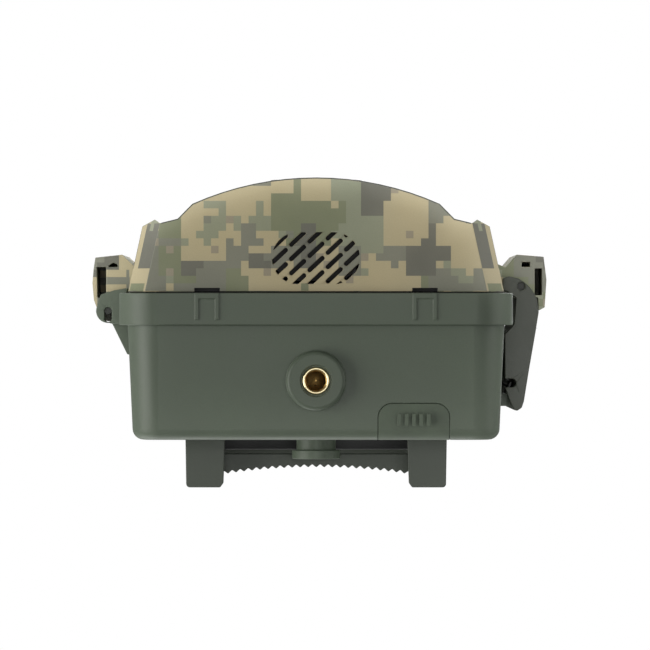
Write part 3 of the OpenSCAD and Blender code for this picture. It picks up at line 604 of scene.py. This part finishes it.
# 1/4-20 thread, mm
PITCH, MAJOR_R, MINOR_R, INSERT_R = 1.27, 3.175, 2.6, 3.7
GROOVE_R, LIP_CENTRE_R, LIP_R = 3.3, 3.28, 0.38
THREAD_START, THREAD_END, THREAD_STEPS = 0.6, 9.45, 72
INSERT_OUTSIDE = [(INSERT_R, 12), (INSERT_R, 7.3), (GROOVE_R, 7.2), (GROOVE_R, 6.5), (INSERT_R, 6.4),
                  (INSERT_R, 4.1), (GROOVE_R, 4), (GROOVE_R, 3.3), (INSERT_R, 3.2), (INSERT_R, 0.6)]
LIP_ANGLES = [math.pi * k / 10 for k in range(1, 10)]


def thread_radius(z):
    """The thread's radius at height z as a function of the angle; it runs out at its deep end."""
    def radius(angle):
        phase = (z / PITCH - angle / (2 * math.pi)) % 1
        fade = min(1, max(0, (9.2 - z) / PITCH))
        return MINOR_R + (MAJOR_R - MINOR_R) * fade * min(1, max(0, 1.35 - 2.9 * abs(phase - 0.5)))
    return radius


def insert_rings():
    """Threaded insert along +Z from its mouth: grooved outside, rounded lip, thread, drilled end."""
    rings = [ring(r, z) for r, z in INSERT_OUTSIDE]
    rings += [ring(LIP_CENTRE_R + LIP_R * math.cos(a), LIP_R - LIP_R * math.sin(a)) for a in LIP_ANGLES]
    depth = THREAD_END - THREAD_START
    heights = [THREAD_START + depth * k / THREAD_STEPS for k in range(THREAD_STEPS + 1)]
    rings += [ring(thread_radius(z), z) for z in heights]
    return rings + [ring(MINOR_R, 9.9), ring(0.4, 10.9)]


mouth_down = tube([[(x, y, z + 0.2) for x, y, z in r] for r in insert_rings()])
mouth_back = tube([[(x, 21.5 - z, 24 + y) for x, y, z in r] for r in insert_rings()])
# The bore's darker brass is painted shade inside the threaded hole.
bore_brass_painted_shade = metal("bore_brass_painted_shade", (0.42, 0.27, 0.09), 0.32, (1, 1, 6))
# tube() lays its faces ring by ring, so every face from here on belongs to the bore, whose darker brass is
# painted shade inside the hole
first_bore_face = (len(INSERT_OUTSIDE) + len(LIP_ANGLES) - 1) * AROUND
for name, shape, node in (("tripod_insert_thread", mouth_down, "tripod_insert"),
                          ("rear_insert_thread", mouth_back, "rear_insert")):
    insert = add(name, joined(shape), "housing", "brass", [node])
    insert.data.materials.append(bore_brass_painted_shade)
    for polygon in insert.data.polygons:
        polygon.material_index = int(polygon.index >= first_bore_face)

# AA cell from its flat end to its raised end: radius and height, mm
CELL_PROFILE = [(5.2, 0.12), (5.6, 0.12), (5.9, 0), (6.5, 0.05), (6.9, 0.3), (7.04, 0.8), (7.04, 48.4),
                (6.9, 49.0), (6.4, 49.28), (5.7, 49.25), (5.4, 49.05), (3.1, 49.05), (2.75, 49.2),
                (2.7, 50.2), (2.45, 50.48)]
CELL_LENGTH, CELL_AROUND = 50.5, 40
COLUMN_PITCH, CELLS_Y, ROW_Z, SPRING_ROOM = 15.5, -5.8, (20.2, 75.7), 2.2
SPRING_SEAT, SPRING_TURNS, SPRING_STEPS, SPRING_WIRE_R = 2.23, 3.2, 90, 0.31

cells, cell_heights, springs = [], [], []
for column in range(4):
    x, y = (column - 1.5) * COLUMN_PITCH, CELLS_Y
    for row in range(2):
        # Raised ends point up and down by turns
        up = (column + row) % 2
        z0 = ROW_Z[row] + (SPRING_ROOM if up else 0)
        rings = [[(x + px, y + py, z0 + (pz if up else CELL_LENGTH - pz))
                  for px, py, pz in ring(r, z, CELL_AROUND)] for r, z in CELL_PROFILE]
        verts, faces = tube(rings)
        cells.append((verts, faces if up else [f[::-1] for f in faces]))
        cell_heights += [((p[2] - z0) if up else CELL_LENGTH - (p[2] - z0)) / CELL_LENGTH for p in verts]
        wide = z0 - SPRING_SEAT if up else z0 + CELL_LENGTH + SPRING_SEAT
        way = 1 if up else -1
        path = []
        for k in range(SPRING_STEPS + 1):
            t = k / SPRING_STEPS
            a = 2 * math.pi * SPRING_TURNS * t
            r = 4 - t
            path.append((x + r * math.cos(a), y + r * math.sin(a), wide + way * (0.33 + 1.38 * t)))
        springs.append(wire(path, SPRING_WIRE_R, 8))

wrapped = add("battery_cells_wrapped", joined(*cells), "housing", "battery", ["battery_cells"])
uv = wrapped.data.uv_layers.new(name="UVMap")
for loop in wrapped.data.loops:
    turn = loop.vertex_index % CELL_AROUND / CELL_AROUND
    uv.data[loop.index].uv = (turn, cell_heights[loop.vertex_index])
add("battery_springs_wound", joined(*springs), "housing", slot_of["battery_springs"], ["battery_springs"])


def smooth_path(points, per_span=8):
    """Points in mm joined by a Catmull-Rom curve, per_span points to each span."""
    pts = [Vector(p) for p in points]
    pts = [2 * pts[0] - pts[1]] + pts + [2 * pts[-1] - pts[-2]]
    out = []
    for a, b, c, d in zip(pts, pts[1:], pts[2:], pts[3:]):
        for k in range(per_span):
            t = k / per_span
            out.append(0.5 * ((2 * b) + (c - a) * t + (2 * a - 5 * b + 4 * c - d) * t * t
                              + (3 * b - a - 3 * c + d) * t ** 3))
    return out + [pts[-2]]


# The flat cable's way, seen from above, from the power board round the hinge side to the main board
route = smooth_path([(14, 8.1), (0, 8.1), (-20, 8.1), (-37, 8.1), (-43.6, 3.4), (-46.2, -8), (-45.3, -16),
                     (-45.2, -24), (-45.6, -29), (-43.6, -31.4), (-39.8, -31.7)])
RIBBON_HALF = 0.16
RIBBON_Z = (50.15, 53, 56, 59, 61.85)
section = [(1, z) for z in RIBBON_Z] + [(-1, z) for z in RIBBON_Z[::-1]]
sheets = []
for i, p in enumerate(route):
    along = (route[min(i + 1, len(route) - 1)] - route[max(i - 1, 0)]).normalized()
    out = Vector((-along.y, along.x)) * RIBBON_HALF
    sheets.append([(p.x + s * out.x, p.y + s * out.y, z) for s, z in section])
ribbon = add("flat_cable_ribbon", joined(tube(sheets)), None, "cable", ["flat_cable"])
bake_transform(ribbon)


# ---------------------------------------------------------------- camera, lights, floor

CAMERA_AWAY = 1.5
HALF_VIEW = 0.08784  # half the width that the picture covers at the underside

camera = bpy.data.objects.new("camera", bpy.data.cameras.new("camera"))
bpy.context.scene.collection.objects.link(camera)
camera.location = (0.00243, -0.0151, -CAMERA_AWAY)
camera.rotation_euler = (math.pi, 0, 0)
camera.data.angle = 2 * math.atan(HALF_VIEW / CAMERA_AWAY)
camera.data.clip_end = 20
bpy.context.scene.camera = camera


LAMP_TARGET = Vector((0, -0.015, 0.03))


def lamp(name, place, size, watts, colour=(1, 1, 1)):
    """A rectangular area lamp aimed at the case."""
    data = bpy.data.lights.new(name, "AREA")
    data.shape = "RECTANGLE"
    data.size, data.size_y = size
    data.energy = watts
    data.color = colour
    obj = bpy.data.objects.new(name, data)
    bpy.context.scene.collection.objects.link(obj)
    obj.location = place
    obj.rotation_euler = (LAMP_TARGET - Vector(place)).to_track_quat("-Z", "Y").to_euler()


lamp("key_left", (-1.25, 0.1, -0.6), (1.2, 1.0), 16, (1.0, 0.99, 0.96))
lamp("fill_right", (1.3, -0.2, -0.3), (0.9, 0.8), 3.5, (1.0, 0.99, 0.97))
lamp("fill_below", (0.3, 0.0, -2.2), (1.4, 1.4), 10)
lamp("top", (0.3, -0.7, 1.2), (1.2, 1.2), 20)
lamp("back_rim", (-0.4, 1.2, 0.6), (1.0, 1.0), 10)

world = bpy.data.worlds.new("studio")
world.use_nodes = True
bpy.context.scene.world = world
world_tree = world.node_tree
background = world_tree.nodes["Background"]
background.inputs["Color"].default_value = (1, 1, 1, 1)
# The backdrop shows white but lights the case less than that
strength = world_tree.nodes.new("ShaderNodeMapRange")
strength.inputs["To Min"].default_value = 0.3
strength.inputs["To Max"].default_value = 1.0
world_rays = world_tree.nodes.new("ShaderNodeLightPath")
world_tree.links.new(world_rays.outputs["Is Camera Ray"], strength.inputs["Value"])
world_tree.links.new(strength.outputs["Result"], background.inputs["Strength"])

FLOOR_SIDE, FLOOR_Z = 2.5, -0.0004
floor_mesh = bpy.data.meshes.new("floor")
corners = [(x * FLOOR_SIDE, y * FLOOR_SIDE, 0) for x, y in ((-1, -1), (1, -1), (1, 1), (-1, 1))]
floor_mesh.from_pydata(corners, [], [(0, 1, 2, 3)])
floor = bpy.data.objects.new("floor", floor_mesh)
floor.location.z = FLOOR_Z
bpy.context.scene.collection.objects.link(floor)
ft = Tree("pale_floor")
ft.finish(ft.ramp(ft.noise(3, 2), (0.3, (0.78, 0.78, 0.77)), (0.7, (0.82, 0.82, 0.81))), 0.6)
# Clear from below, and for shadows and reflections, so that it doesn't hide the underside
clear = ft.new("ShaderNodeBsdfTransparent")
blend = ft.new("ShaderNodeMixShader")
rays = ft.new("ShaderNodeLightPath").outputs
see = ft.math("MAXIMUM", ft.new("ShaderNodeNewGeometry").outputs["Backfacing"],
              ft.math("MAXIMUM", rays["Is Shadow Ray"], rays["Is Glossy Ray"]))
ft.put(blend.inputs[0], see)
ft.put(blend.inputs[1], ft.bsdf.outputs[0])
ft.put(blend.inputs[2], clear.outputs[0])
ft.put(ft.nt.nodes["Material Output"].inputs["Surface"], blend.outputs[0])
floor_mesh.materials.append(ft.mat)

bpy.context.scene.view_settings.view_transform = "Standard"
